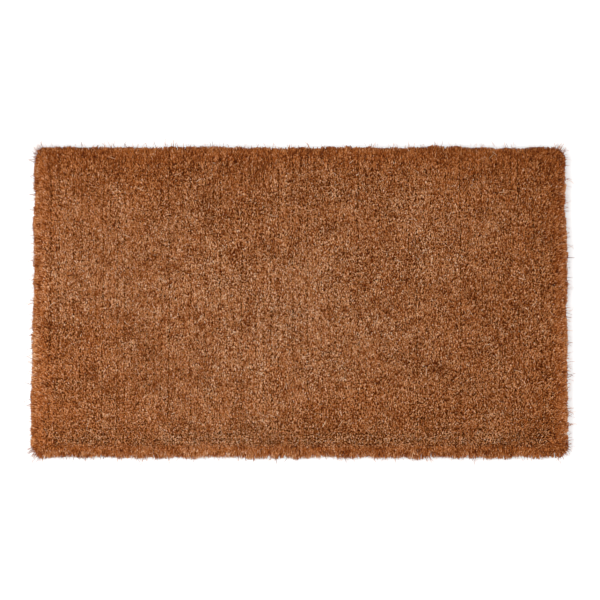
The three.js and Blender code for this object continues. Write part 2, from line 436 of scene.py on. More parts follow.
# %% [markdown]
# ## The pile's layout
# Fibres are made in tufts, as the weaver made them: each tuft is a pinch of coir set between two picks
# of weft, and the tufts of one pick make a row. All of a tuft's fibres start close together at its root
# and fan out to fill the tuft's share of the surface. Scattering fibres evenly would be simpler, but
# the rows would then be lost.


# %% Soft random patches
FIELD = 1.6


def patches(x, y, size, rng):
    """Random values from -1 to 1 on a square lattice over a wide field, blended between the lattice's
    corners with an S-curve."""
    u = (np.asarray(x) + FIELD / 2) / size
    v = (np.asarray(y) + FIELD / 2) / size
    u0 = np.floor(u).astype(int)
    v0 = np.floor(v).astype(int)
    fu = u - u0
    fv = v - v0
    fu = fu * fu * (3 - 2 * fu)
    fv = fv * fv * (3 - 2 * fv)
    corners = int(FIELD / size) + 3
    lattice = rng.uniform(-1, 1, (corners, corners))
    near = lattice[u0, v0] * (1 - fu) + lattice[u0 + 1, v0] * fu
    far = lattice[u0, v0 + 1] * (1 - fu) + lattice[u0 + 1, v0 + 1] * fu
    return near * (1 - fv) + far * fv


def swell(kind, x, y, rng):
    """Soft patches of one kind, which is a pair: how strong they are and how wide."""
    strength, size = kind
    return strength * patches(x, y, size, rng)


def inside_distance(x, y, half_x, half_y, radius):
    """How far a point lies inside a rounded rectangle, and the way out to its nearest edge."""
    qx = np.abs(x) - (half_x - radius)
    qy = np.abs(y) - (half_y - radius)
    corner = np.hypot(np.maximum(qx, 0), np.maximum(qy, 0))
    distance = radius - corner - np.minimum(np.maximum(qx, qy), 0)
    both = (qx > 0) & (qy > 0)
    out_x = np.where(both, qx / np.maximum(corner, 1e-9), qx > qy)
    out_y = np.where(both, qy / np.maximum(corner, 1e-9), qx <= qy)
    return distance, out_x * np.sign(x), out_y * np.sign(y)


# %% Lay out the tufts
TUFTS_IN_A_ROW = 58
FIBRES_ACROSS = 8
FIBRES_ALONG = 6
SPARE_ACROSS = 7
ROW_SLIP = 0.5
ROOT_INSET = 15.5 * MM
FLARE = 9.5 * MM
FLARE_REACH = 10 * MM
CORNER_TURN = 34 * MM
OUTLINE_WIDE = (1.5 * MM, 50 * MM)
OUTLINE_FINE = (1.1 * MM, 19 * MM)

half_x = (pile_high.x - pile_low.x) / 2
half_y = (pile_high.y - pile_low.y) / 2
root_half_x = half_x - ROOT_INSET
root_half_y = half_y - ROOT_INSET
tuft_pitch = 2 * root_half_y / TUFTS_IN_A_ROW
print("tuft pitch, mm:", round(tuft_pitch / MM, 2))


def outline_wander(x, y):
    """How far the edge strays from its true line, so that no side is quite straight."""
    rng = draws(1)
    return swell(OUTLINE_WIDE, x, y, rng) + swell(OUTLINE_FINE, x, y, rng)


def tuft_shares():
    """Each fibre's row and tuft, its tuft's middle, and its own offset from that middle. Where the pile
    flares, its tips spread apart. Spare fibres, kept there in proportion to the stretch, fill the
    gaps."""
    rng = draws(2)
    counts = (ROW_COUNT, TUFTS_IN_A_ROW, FIBRES_ACROSS + SPARE_ACROSS, FIBRES_ALONG)
    row, tuft, i, j = (a.ravel() for a in np.meshgrid(*(np.arange(n) for n in counts), indexing="ij"))
    count = len(row)
    row_slip = ROW_SLIP * tuft_pitch * rng.uniform(-1, 1, ROW_COUNT)
    middle_x = (row - (ROW_COUNT - 1) / 2) * ROW_PITCH
    middle_y = (tuft - (TUFTS_IN_A_ROW - 1) / 2) * tuft_pitch
    middle_y += row_slip[row] * (1 - (middle_y / root_half_y) ** 2)
    spare = i >= FIBRES_ACROSS
    column = np.where(spare, rng.uniform(0, FIBRES_ACROSS, count), i + rng.uniform(0, 1, count))
    dx = (column / FIBRES_ACROSS - 0.5) * ROW_PITCH
    dy = ((j + rng.uniform(0, 1, count)) / FIBRES_ALONG - 0.5) * tuft_pitch
    inside, _, _ = inside_distance(middle_x + dx, middle_y + dy, root_half_x, root_half_y, CORNER_TURN)
    stretch = FLARE / FLARE_REACH * np.exp(-np.maximum(inside, 0) / FLARE_REACH)
    keep = ~spare | (rng.uniform(size=count) < stretch * FIBRES_ACROSS / SPARE_ACROSS)
    return (a[keep] for a in (row, tuft, middle_x, middle_y, dx, dy))


# %% [markdown]
# Shears leave a pile that is nearly flat but not quite. Fibres cling together in small clumps, single
# fibres fall short, here and there a pit opens, and a shallow parting shows between rows. These small
# faults make most of the look, because each of them throws a shadow.

# %% Place every fibre
ROOT_HEIGHT = 10.5 * MM
ROOT_GATHER = 0.5
ROW_LEAN = 0.2 * MM
DRIFT_X = (1.5 * MM, 26 * MM)
DRIFT_Y = (1.5 * MM, 21 * MM)
CLUMP = 2.1 * MM
CLUMP_NARROW = 1.9
CLUMP_LIFT = 2.2 * MM
CLUMP_PULL = 0.55 * MM
SPREAD_X = 0.3 * MM
SPREAD_Y = 0.9 * MM
TOP_MARGIN = 1.6 * MM
CUT_SPREAD = 0.7 * MM
TOP_SWELL = (0.5 * MM, 33 * MM)
PARTING_FROM, PARTING_WIDTH = 0.55, 0.45
PARTING_DROP = 3.8 * MM
RIB_LEVEL = 0.5
RIB_LEAN = 0.3
RIB_PATCHES = (1.2, 110 * MM)
RIB_SHADE = 0.7
PIT = 3.2 * MM
PIT_LEVEL = 0.45
PIT_DEPTH = 9.0 * MM
SHORT_SHARE = 0.14
SHORT_DROP = 3.0 * MM
SHORTEST = 3.0 * MM
FLARE_DROP = 0.17


def tip_heights(x, y, narrow, clump, parting, flare, rng):
    """The shears' level plus the clumps' lift, less what partings, pits, short fibres and the flare
    take away."""
    count = len(x)
    height = PILE_TOP - TOP_MARGIN + CLUMP_LIFT * clump + rng.normal(0, CUT_SPREAD, count)
    rib = parting * np.clip(RIB_LEVEL - RIB_LEAN * x / half_x + swell(RIB_PATCHES, x, y, rng), 0, None)
    height -= PARTING_DROP * rib
    height -= PIT_DEPTH * np.clip((patches(narrow, y, PIT, rng) - PIT_LEVEL) / (1 - PIT_LEVEL), 0, 1)
    height -= np.where(rng.uniform(size=count) < SHORT_SHARE, rng.exponential(SHORT_DROP, count), 0)
    height -= FLARE_DROP * flare * flare / FLARE + swell(TOP_SWELL, x, y, rng)
    return np.maximum(height, ROOT_HEIGHT + SHORTEST), rib


def fibre_layout():
    """Every fibre's root and tip. A tip takes its place in its tuft's share of the surface, a root lies
    nearer its tuft's middle, and near an edge the tip leans outwards by an amount that fades with
    distance inside."""
    row, tuft, middle_x, middle_y, dx, dy = tuft_shares()
    rng = draws(12)
    count = len(row)
    row_lean = rng.normal(0, ROW_LEAN, ROW_COUNT)
    x, y = middle_x + dx, middle_y + dy
    root_x = np.clip(middle_x + ROOT_GATHER * dx, -root_half_x, root_half_x)
    root_y = np.clip(middle_y + ROOT_GATHER * dy, -root_half_y, root_half_y)
    narrow = CLUMP_NARROW * x
    clump = patches(narrow, y, CLUMP, rng)
    tip_x = x + row_lean[row] + swell(DRIFT_X, x, y, rng) + CLUMP_PULL * patches(narrow, y, CLUMP, rng)
    tip_y = y + swell(DRIFT_Y, x, y, rng) + CLUMP_PULL * patches(narrow, y, CLUMP, rng)
    tip_x += rng.normal(0, SPREAD_X, count)
    tip_y += rng.normal(0, SPREAD_Y, count)
    inside, out_x, out_y = inside_distance(x, y, root_half_x, root_half_y, CORNER_TURN)
    flare = (FLARE + outline_wander(x, y)) * np.exp(-np.maximum(inside, 0) / FLARE_REACH)
    from_middle = np.abs(dx) / (ROW_PITCH / 2)
    parting = np.clip((from_middle - PARTING_FROM) / PARTING_WIDTH, 0, 1) * rng.uniform(0, 1, count)
    height, rib = tip_heights(x, y, narrow, clump, parting, flare, rng)
    root = np.stack([root_x, root_y, np.full(count, ROOT_HEIGHT)], axis=1)
    tip = np.stack([tip_x + out_x * flare, tip_y + out_y * flare, height], axis=1)
    # The last value is the clump less a painted shade in the partings between rows.
    return tuft, root, tip, flare / FLARE, clump - RIB_SHADE * rib


tuft_of, fibre_root, fibre_tip, fibre_flare, clump_and_parting_shade = fibre_layout()
print("fibres in the rows:", len(tuft_of))

# %% [markdown]
# The colour of a coir mat is patchy at every scale: from fibre to fibre, from clump to clump, and in
# broad areas where one bale of fibre gave way to another. Feet wear the middle pale and leave the
# corners dark and red. A picture of that could be painted on the surface, but giving each fibre a
# number keeps its colour in one piece.

# %% Give each fibre its tone and width
MIDDLE_TONE = 0.5
TONE_WIDE = (0.05, 90 * MM)
TONE_MEDIUM = (0.04, 24 * MM)
TONE_SMALL = (0.09, 7 * MM)
TONE_CLUMP = (0.21, CLUMP)
OWN_TONE = 0.19
CLUMP_TONE = 0.15
WORN_HALF_X = 330 * MM
WORN_HALF_Y = 190 * MM
FRESH_RED = 0.28
FRESH_DARK = 0.07
CORNER_RED = 0.16
CORNER_DARK = 0.11
# Painted light makes the left a little paler, and painted shade darkens the strip along the back.
PAINTED_LEFT_LIGHT = 0.03
BACK_SHADE = 0.17
BACK_FADE = 10
# Painted shade where the pile flares, and painted light along the front.
FLARE_SHADE = 0.17
FLARE_RED = 0.2
FRONT_LIGHT = 0.32
FRONT_FADE = 4
RED_PATCHES = (0.12, 28 * MM)
FIBRE_WIDTH = 1.15 * MM
PILE_WIDTHS = (0.65, 1.35)
BAND_COUNT = 10


def worn(x, y):
    """How much a place is trodden, from 1 in the middle to nearly 0 at the corners."""
    return np.exp(-((x / WORN_HALF_X) ** 2) - (y / WORN_HALF_Y) ** 2)


def corner(x, y):
    """How near a place is to a corner, from 0 on the middle lines to about 1 at the four corners."""
    return (x * y / (half_x * half_y)) ** 4


def fibre_tones(x, y, rng):
    """A tone is the sum of soft patches of several sizes and the fibre's own draw. Where the mat is
    trodden less it is darker, most of all in the corners. Painted shade darkens it further along the
    back, and painted light makes its left a little paler than its right."""
    tone = MIDDLE_TONE + swell(TONE_WIDE, x, y, rng) + swell(TONE_MEDIUM, x, y, rng)
    tone += swell(TONE_SMALL, x, y, rng) + swell(TONE_CLUMP, CLUMP_NARROW * x, y, rng)
    # The steep term along the back is painted shade, and the term in x is painted light.
    tone -= FRESH_DARK * (1 - worn(x, y)) + BACK_SHADE * np.clip(y / half_y, 0, 1) ** BACK_FADE
    tone -= CORNER_DARK * corner(x, y) + PAINTED_LEFT_LIGHT * x / half_x
    return tone + rng.normal(0, OWN_TONE, len(x))


def make_bands():
    """The pile in long bands, front to back, which keeps each mesh a size that other programs can open.
    Fibres that flare are painted darker, as painted shade, because light comes between them, but along
    the front the ones that lean halfway are painted paler, as painted light."""
    rng = draws(3)
    x, y = fibre_tip[:, 0], fibre_tip[:, 1]
    flare = np.clip(fibre_flare, 0, 1)
    front = np.clip(-y / half_y, 0, 1) ** FRONT_FADE
    # The clump term also carries the painted shade of the partings between rows.
    tone = fibre_tones(x, y, rng) + CLUMP_TONE * clump_and_parting_shade
    # Painted light along the front and painted shade where the pile flares.
    tone += FRONT_LIGHT * front * (4 * flare * (1 - flare)) ** 2 - FLARE_SHADE * flare
    tone = np.clip(tone, 0, 1)
    width = FIBRE_WIDTH * rng.uniform(*PILE_WIDTHS, len(tone))
    bow = np.zeros_like(fibre_root)
    edge = FLARE_RED * flare**2 + FRESH_RED * (1 - worn(x, y)) + swell(RED_PATCHES, x, y, rng)
    edge += CORNER_RED * corner(x, y)
    bands = []
    for band in range(BAND_COUNT):
        mine = tuft_of * BAND_COUNT // TUFTS_IN_A_ROW == band
        parts = (a[mine] for a in (fibre_root, fibre_tip, bow, width, tone, edge))
        bands.append(add_fibres(f"pile_band_{band + 1:02d}", *parts, rng, CUT))
    return bands


pile_bands = make_bands()
print("bands:", len(pile_bands), "triangles in one:", len(pile_bands[4].data.polygons))

# %% [markdown]
# ## The edge of the pile
# Nothing props up the outermost tufts, so they fan out over the edge and hide the base. Seen from above
# they make a redder rim, because their sides show and not their cut ends. Each fibre starts at the edge
# of the base and bends to a place on the mat's rounded side. The places are spread evenly over that
# side, corners included.

# %% The edge of the pile
EDGE_SPACING = 0.62 * MM
EDGE_LAYERS = 11
EDGE_TUFT = 10.5 * MM
EDGE_TIERS = 3
TIER_REACH = 0.8 * MM
TIER_SWAY = 1.2 * MM
TIER_TONE = 0.07
EDGE_REACH = 0.7 * MM
EDGE_SWAY = 1.0 * MM
EDGE_RISE = 1.2 * MM
EDGE_LOWEST = 1.2 * MM
EDGE_ARCH = 0.8 * MM
EDGE_BOW = 0.5 * MM
EDGE_SHORT_SHARE = 0.35
EDGE_SHORT_DROP = 2.2 * MM
ROOT_DEPTH = 3.0 * MM
ROOT_RISE = 1.0 * MM
EDGE_OUT = 15.5 * MM
ROOT_CORNER = 5 * MM
CORNER_REACH = 0.04
SIDE_PLACES = np.array([0.0, 0.30, 0.52, 0.70, 0.85, 1.0])
SIDE_OUT = np.array([0.0, 9.5, 13.2, 15.0, 15.2, 14.8]) * MM
SIDE_HEIGHT = np.array([28.2, 26.8, 24.2, 18.5, 10.5, 2.2]) * MM
DROOP_FROM = 0.5
DROOP_OUT = 3.2 * MM
DROOP_UP = 3.4 * MM


def round_path(half_x, half_y, radius, count):
    """Points at equal steps round a rounded rectangle, from the middle of its right side, and the way
    out at each."""
    straight_x, straight_y = half_x - radius, half_y - radius
    arc = radius * math.pi / 2
    lengths = [straight_y, arc, 2 * straight_x, arc, 2 * straight_y, arc, 2 * straight_x, arc, straight_y]
    turned = np.array([0, 1, 0, 1, 0, 1, 0, 1, 0]) * math.pi / 2
    stops = np.concatenate([[0], np.cumsum(lengths)])
    angles = np.concatenate([[0], np.cumsum(turned)])
    at = np.arange(count) / count * stops[-1]
    angle = np.interp(at, stops, angles)
    out = np.stack([np.cos(angle), np.sin(angle)], axis=1)
    centre_x = np.interp(at, stops, np.array([1, 1, 1, -1, -1, -1, -1, 1, 1, 1]) * straight_x)
    centre_y = np.interp(at, stops, np.array([0, 1, 1, 1, 1, -1, -1, -1, -1, 0]) * straight_y)
    return np.stack([centre_x, centre_y], axis=1) + radius * out, out


def edge_layout():
    """Fibres from the rim of the base to the mat's side. A fibre's place p runs from 0 at the top to 1
    at the floor, and the side's profile gives how far out and how high its tip is. Low fibres arch over
    the edging cord. Fibres of one tuft share a small shift, which makes the tufts show."""
    rng = draws(4)
    around = int(4 * (half_x + half_y) / EDGE_SPACING)
    corner_radius = ROOT_CORNER + EDGE_OUT
    outer, out = round_path(root_half_x + EDGE_OUT, root_half_y + EDGE_OUT, corner_radius, around)
    outer = np.repeat(outer, EDGE_LAYERS, axis=0)
    out = np.repeat(out, EDGE_LAYERS, axis=0)
    count = len(outer)
    place = (np.tile(np.arange(EDGE_LAYERS), around) + rng.uniform(0, 1, count)) / EDGE_LAYERS
    along = np.stack([-out[:, 1], out[:, 0]], axis=1)
    reach = np.interp(place, SIDE_PLACES, SIDE_OUT)
    reach *= 1 + CORNER_REACH * (2 * out[:, 0] * out[:, 1]) ** 2
    tuft = np.repeat(np.arange(around), EDGE_LAYERS) * EDGE_SPACING // EDGE_TUFT
    tuft = (tuft * EDGE_TIERS + np.floor(place * EDGE_TIERS)).astype(int)
    tuft_shift = rng.normal(0, 1, (3, tuft.max() + 1))[:, tuft]
    reach += outline_wander(outer[:, 0], outer[:, 1]) + rng.normal(0, EDGE_REACH, count)
    reach += TIER_REACH * tuft_shift[0]
    short = rng.uniform(size=count) < EDGE_SHORT_SHARE
    reach -= np.where(short, rng.exponential(EDGE_SHORT_DROP, count), 0)
    sway = rng.normal(0, EDGE_SWAY, count) + TIER_SWAY * tuft_shift[1]
    base = outer - EDGE_OUT * out
    root = np.empty((count, 3))
    root[:, :2] = base - out * rng.uniform(0, ROOT_DEPTH, count)[:, None]
    root[:, 2] = ROOT_HEIGHT + rng.uniform(0, ROOT_RISE, count)
    tip = np.empty((count, 3))
    tip[:, :2] = base + out * reach[:, None] + along * sway[:, None]
    tip[:, 2] = np.interp(place, SIDE_PLACES, SIDE_HEIGHT) + rng.normal(0, EDGE_RISE, count)
    tip[:, 2] = np.clip(tip[:, 2], EDGE_LOWEST, None)
    droop = np.clip((place - DROOP_FROM) / (1 - DROOP_FROM), 0, 1)
    bow = np.empty((count, 3))
    bow[:, :2] = out * (DROOP_OUT * droop)[:, None]
    bow[:, 2] = DROOP_UP * droop + EDGE_ARCH * np.sin(np.pi * place)
    bow += rng.normal(0, EDGE_BOW, bow.shape)
    return root, tip, bow, place, out, TIER_TONE * tuft_shift[2]


edge_parts = edge_layout()
print("fibres round the edge:", len(edge_parts[0]))


# %% Colour the edge and split it by side
EDGE_DARK = 0.21
EDGE_OWN_TONE = 0.16
EDGE_WIDTHS = (0.55, 1.15)
RIM_RED = 0.3
RIM_REDS = (0.3, 1)
RIM_TURN = 2.5


def make_edges():
    """The leaning fibres as one piece for each side of the mat. A fibre is darker the nearer the top it
    ends."""
    root, tip, bow, place, out, tuft_tone = edge_parts
    rng = draws(5)
    count = len(place)
    tone = fibre_tones(tip[:, 0], tip[:, 1], rng) + tuft_tone + rng.normal(0, EDGE_OWN_TONE, count)
    tone = np.clip(tone - EDGE_DARK * (1 - place), 0, 1)
    width = FIBRE_WIDTH * rng.uniform(*EDGE_WIDTHS, count)
    edge = RIM_RED * np.sin(0.5 * np.pi * np.clip(RIM_TURN * place, 0, 1))
    edge *= rng.uniform(*RIM_REDS, count)
    sideways = np.abs(out[:, 0]) > np.abs(out[:, 1])
    sides = {
        "right": sideways & (out[:, 0] > 0),
        "left": sideways & (out[:, 0] < 0),
        "back": ~sideways & (out[:, 1] > 0),
        "front": ~sideways & (out[:, 1] < 0),
    }
    pieces = []
    for name, mine in sides.items():
        parts = (a[mine] for a in (root, tip, bow, width, tone, edge))
        pieces.append(add_fibres(f"pile_edge_{name}", *parts, rng, BENT))
    return pieces


pile_edges = make_edges()
print("triangles in the edges:", sum(len(piece.data.polygons) for piece in pile_edges))

# %% [markdown]
# ## Stray fibres
# No coir mat is tidy. A few long fibres have worked loose: some stick out past the edge, mostly near
# the corners, and some lie across the top. They are thinner than the rest and curl, so each has four
# rings.

# %% Stray fibres
EDGE_STRAYS = 900
RIM_SPOTS = 4000
CORNER_STRAYS = 8
STRAY_INSET = 5 * MM
STRAY_SHORTEST, STRAY_MEAN, STRAY_LONGEST = 3 * MM, 3.6 * MM, 13 * MM
STRAY_LEVELS = (5 * MM, 27 * MM)
STRAY_LOWEST = 1.0 * MM
STRAY_HIGHEST = PILE_TOP + 3 * MM
STRAY_LEAN = 0.6
STRAY_LIFT = 0.35
STRAY_CURL = 0.22
TOP_STRAYS = 420
TOP_SHARE_X, TOP_SHARE_Y = 0.95, 0.93
TOP_LENGTHS = (5 * MM, 16 * MM)
TOP_DEPTH = 3.0 * MM
TOP_RISE = 1.0 * MM
TOP_CURL = 1.2 * MM
TOP_ARCH = (0.6 * MM, 1.4 * MM)
STRAY_WIDTH = 0.58 * MM
STRAY_WIDTHS = (0.7, 1.4)
EDGE_STRAY_TONES = (0.02, 0.5)
TOP_STRAY_TONES = (0.6, 1.0)


def edge_strays(rng):
    """Loose fibres that leave the rim of the mat: most of a stray's length lies outside it, bent by its
    bow."""
    spots, outs = round_path(half_x, half_y, ROOT_CORNER + EDGE_OUT, RIM_SPOTS)
    chance = 1 + CORNER_STRAYS * (2 * outs[:, 0] * outs[:, 1]) ** 2
    pick = rng.choice(len(spots), EDGE_STRAYS, p=chance / chance.sum())
    spot, out = spots[pick], outs[pick]
    side = np.stack([-out[:, 1], out[:, 0]], axis=1)
    length = np.minimum(STRAY_SHORTEST + rng.exponential(STRAY_MEAN, EDGE_STRAYS), STRAY_LONGEST)
    level = rng.uniform(*STRAY_LEVELS, EDGE_STRAYS)
    sideways = rng.normal(0, STRAY_LEAN, EDGE_STRAYS) * length
    upwards = rng.normal(0, STRAY_LIFT, EDGE_STRAYS) * length
    root = np.column_stack([spot - out * STRAY_INSET, level])
    end = spot + out * length[:, None] + side * sideways[:, None]
    tip = np.column_stack([end, np.clip(level + upwards, STRAY_LOWEST, STRAY_HIGHEST)])
    bow = rng.normal(0, STRAY_CURL, (EDGE_STRAYS, 3)) * length[:, None]
    return root, tip, bow


def top_strays(rng):
    """Loose fibres that lie over the top: both ends near the surface, arched a little above it."""
    x = rng.uniform(-TOP_SHARE_X, TOP_SHARE_X, TOP_STRAYS) * half_x
    y = rng.uniform(-TOP_SHARE_Y, TOP_SHARE_Y, TOP_STRAYS) * half_y
    heading = rng.uniform(0, 2 * np.pi, TOP_STRAYS)
    length = rng.uniform(*TOP_LENGTHS, TOP_STRAYS)
    end_x, end_y = x + length * np.cos(heading), y + length * np.sin(heading)
    root = np.column_stack([x, y, np.full(TOP_STRAYS, PILE_TOP - TOP_DEPTH)])
    tip = np.column_stack([end_x, end_y, PILE_TOP + rng.uniform(-TOP_RISE, TOP_RISE, TOP_STRAYS)])
    bow = np.column_stack([rng.normal(0, TOP_CURL, (TOP_STRAYS, 2)), rng.uniform(*TOP_ARCH, TOP_STRAYS)])
    return root, tip, bow


def make_strays():
    """Both kinds in one piece: dark ones at the rim, pale ones on the top."""
    rng = draws(6)
    root, tip, bow = (np.concatenate(pair) for pair in zip(edge_strays(rng), top_strays(rng)))
    at_rim = rng.uniform(*EDGE_STRAY_TONES, EDGE_STRAYS)
    tone = np.concatenate([at_rim, rng.uniform(*TOP_STRAY_TONES, TOP_STRAYS)])
    width = STRAY_WIDTH * rng.uniform(*STRAY_WIDTHS, len(tone))
    return add_fibres("stray_fibres", root, tip, bow, width, tone, np.zeros(len(tone)), rng, HAIR)


strays = make_strays()
print("stray fibres:", EDGE_STRAYS + TOP_STRAYS)

# %% [markdown]
# ## The bed of the pile
# Deep between the tufts the fibres are packed so close that no light comes through. That packed layer
# is one thin closed sheet with a lumpy top and a rounded rim. It stands for the mat's textile as a
# whole.

# %% The imported bed
BED_BOTTOM = 10.7 * MM
BED_TOP = 18.5 * MM
BED_STEP = 3.6 * MM
BED_ROUND = 9.0 * MM
BED_OUT = 8.0 * MM
BED_LUMPS = 1.1 * MM
RIM_THICKNESS = 0.2
# Painted shade: the bed's browns are dark because no light reaches so deep.
BED_SHADE_BROWNS = ((0.35, (0.060, 0.016, 0.004)), (0.70, (0.240, 0.075, 0.020)))
BED_GRAIN = (420, 420, 420)
BED_DETAIL = 3
BED_ROUGHNESS = 0.9
HALF_MAP = 0.485
WALL_LINE = 0.99
STEP_ALONG = np.array([0, 0, 1, 0, 1, 1])
STEP_ROUND = np.array([0, 1, 1, 0, 1, 0])


def bed_material():
    """Packed fibre in painted shade: a fine noise mixes two deep browns."""
    material, tree = new_material("packed_fibre")
    colour = colour_ramp(tree, stretched_noise(tree, BED_GRAIN, BED_DETAIL), BED_SHADE_BROWNS)
    coir_shader(tree, colour, BED_ROUGHNESS, sheen=0.0)
    return material


def make_bed():
    """A sheet whose point (u, v) runs over the top from edge to edge: height is the mean level plus
    lumps, rounded down at the rim, and the underside is the same grid laid flat. Top, underside and
    wall each have a part of the UV map. A wall step's corners go along by STEP_ALONG and down by
    STEP_ROUND."""
    rng = draws(7)
    bed_half_x, bed_half_y = root_half_x + BED_OUT, root_half_y + BED_OUT
    nx = int(2 * bed_half_x / BED_STEP)
    ny = int(2 * bed_half_y / BED_STEP)
    u, v = np.meshgrid(np.linspace(-1, 1, nx), np.linspace(-1, 1, ny), indexing="ij")
    x, y = u * bed_half_x, v * bed_half_y
    rim = np.minimum(bed_half_x - np.abs(x), bed_half_y - np.abs(y))
    ease = np.sqrt(1 - (1 - np.clip(rim / BED_ROUND, 0, 1)) ** 2)
    thickness = BED_TOP - BED_BOTTOM + BED_LUMPS * rng.uniform(-1, 1, x.shape)
    top = BED_BOTTOM + thickness * (RIM_THICKNESS + (1 - RIM_THICKNESS) * ease)
    upper = np.stack([x, y, top], axis=-1).reshape(-1, 3)
    lower = np.stack([x, y, np.full(x.shape, BED_BOTTOM)], axis=-1).reshape(-1, 3)
    index = np.arange(nx * ny).reshape(nx, ny)
    a, b = index[:-1, :-1].ravel(), index[1:, :-1].ravel()
    c, d = index[1:, 1:].ravel(), index[:-1, 1:].ravel()
    over = np.concatenate([np.stack([a, b, c], axis=1), np.stack([a, c, d], axis=1)])
    under = over[:, ::-1] + nx * ny
    loop = np.concatenate([index[:-1, 0], index[-1, :-1], index[:0:-1, -1], index[0, :0:-1]])
    after = np.roll(loop, -1)
    deep, deep_after = loop + nx * ny, after + nx * ny
    wall = np.stack([loop, deep, deep_after, loop, deep_after, after], axis=1).reshape(-1, 3)
    triangles = np.concatenate([over, under, wall])
    flat = np.stack([(u.ravel() + 1) / 2, (v.ravel() + 1) / 2 * HALF_MAP], axis=1)
    wall_u = (np.arange(len(loop))[:, None] + STEP_ALONG) / len(loop)
    wall_v = np.broadcast_to(1 - (1 - WALL_LINE) * STEP_ROUND, wall_u.shape)
    wall_map = np.stack([wall_u, wall_v], axis=-1).reshape(-1, 3, 2)
    bed_map = np.concatenate([flat[over], flat[over[:, ::-1]] + (0, 0.5), wall_map])
    points = np.concatenate([upper, lower])
    bed = add_piece("pile_bed", points, triangles, bed_material(), maps={"OFBake": bed_map})
    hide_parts("pile")
    return bed


pile_bed = make_bed()
print("bed triangles:", len(pile_bed.data.polygons))

# %% [markdown]
# ## Twisted yarn
# The base under the pile is woven from coir yarn, and its edge is finished with a plait sewn on with
# twine. Each of them is a few plies twisted together. A plain round tube would look like plastic, so
# the section here has a lobe for each ply, and it turns as it goes along. The same function makes yarn,
# plait strands and twine.

# %% A twisted yarn's surface
YARN_BROWNS = ((0.62, (0.230, 0.090, 0.026)), (1.0, (0.560, 0.290, 0.115)))
TWINE_BROWNS = ((0.62, (0.200, 0.120, 0.050)), (1.0, (0.520, 0.370, 0.190)))
# Painted shade for the grooves between the plies.
GROOVE_SHADE_COLOUR = (0.300, 0.180, 0.100, 1)
GROOVE_SHADE_BELOW = 0.7
STREAK_FINE = 1100
STREAK_LONG = 90
STREAK_DETAIL = 4
YARN_ROUGHNESS = 0.8
YARN_SHEEN = 0.05
YARN_BUMP = (0.6, 0.3 * MM)
YARN_SIDES = 6
PLIES = 2
GROOVE = 0.3
SPARE_COLUMNS = 2
ROW_MARGIN = 0.06
CAP_SHARE = 0.38


def twisted(path, reference, radius, sides, pitch, groove=GROOVE):
    """A point at step i and angle a is path + r (cos a across + sin a up), with r = radius (1 - groove
    + groove |cos(PLIES (a - turn) / 2)|), and turn grows by a circle over each pitch."""
    tangent = np.gradient(path, axis=0)
    tangent /= np.linalg.norm(tangent, axis=1, keepdims=True)
    across = np.cross(tangent, reference)
    across /= np.linalg.norm(across, axis=1, keepdims=True)
    up = np.cross(tangent, across)
    step = np.linalg.norm(np.diff(path, axis=0), axis=1)
    turn = 2 * np.pi * np.concatenate([[0], np.cumsum(step)]) / pitch
    angle = np.arange(sides) * 2 * np.pi / sides
    lobe = np.abs(np.cos(0.5 * PLIES * (angle[None] - turn[:, None])))
    ring = np.cos(angle)[None, :, None] * across[:, None] + np.sin(angle)[None, :, None] * up[:, None]
    return path[:, None] + (radius * (1 - groove + groove * lobe))[..., None] * ring, lobe


def end_fan(sides):
    """The triangles over a tube's first end, and the same ones turned over for its last."""
    fan = np.arange(1, sides - 1)
    start = np.stack([0 * fan, fan + 1, fan], axis=1)
    return start, start[:, [0, 2, 1]]


def tube_triangles(rings, sides):
    """Two triangles for each step and side, then a fan over each end."""
    index = np.arange(rings * sides).reshape(rings, sides)
    a, b = index[:-1], np.roll(index[:-1], -1, axis=1)
    c, d = np.roll(index[1:], -1, axis=1), index[1:]
    walls = np.stack([a, b, c, a, c, d], axis=-1).reshape(-1, 3)
    start, end = end_fan(sides)
    return np.concatenate([walls, start, index[-1, 0] + end])


def tube_map(count, rings, sides, shape):
    """The tubes' walls laid end to end as one long strip, which is cut into rows that fill the square.
    Shape is a step's length over the way round the tube, and sets how many rows there are. The ends of
    the tubes lie in spare columns at the rows' right."""
    steps = count * (rings - 1)
    lines = max(round(math.sqrt(steps * shape)), 2 * count)
    columns = math.ceil(steps / lines)
    wide = columns + SPARE_COLUMNS
    at = np.arange(steps)[:, None, None]
    side = np.arange(sides)[None, :, None]
    u = (at % columns + STEP_ALONG) / wide
    v = at // columns + ROW_MARGIN + (1 - 2 * ROW_MARGIN) * (side + STEP_ROUND) / sides
    walls = np.stack(np.broadcast_arrays(u, v / lines), axis=-1).reshape(count, -1, 3, 2)
    corners = np.concatenate(end_fan(sides))
    angle = 2 * np.pi * corners / sides
    place = np.repeat(np.arange(2 * count) * lines // (2 * count), sides - 2).reshape(count, -1, 1)
    cap_u = (columns + SPARE_COLUMNS * (0.5 + CAP_SHARE * np.cos(angle))) / wide
    cap_v = (place + 0.5 + CAP_SHARE * np.sin(angle)) / lines
    caps = np.stack(np.broadcast_arrays(cap_u, cap_v), axis=-1)
    return np.concatenate([walls, caps], axis=1)


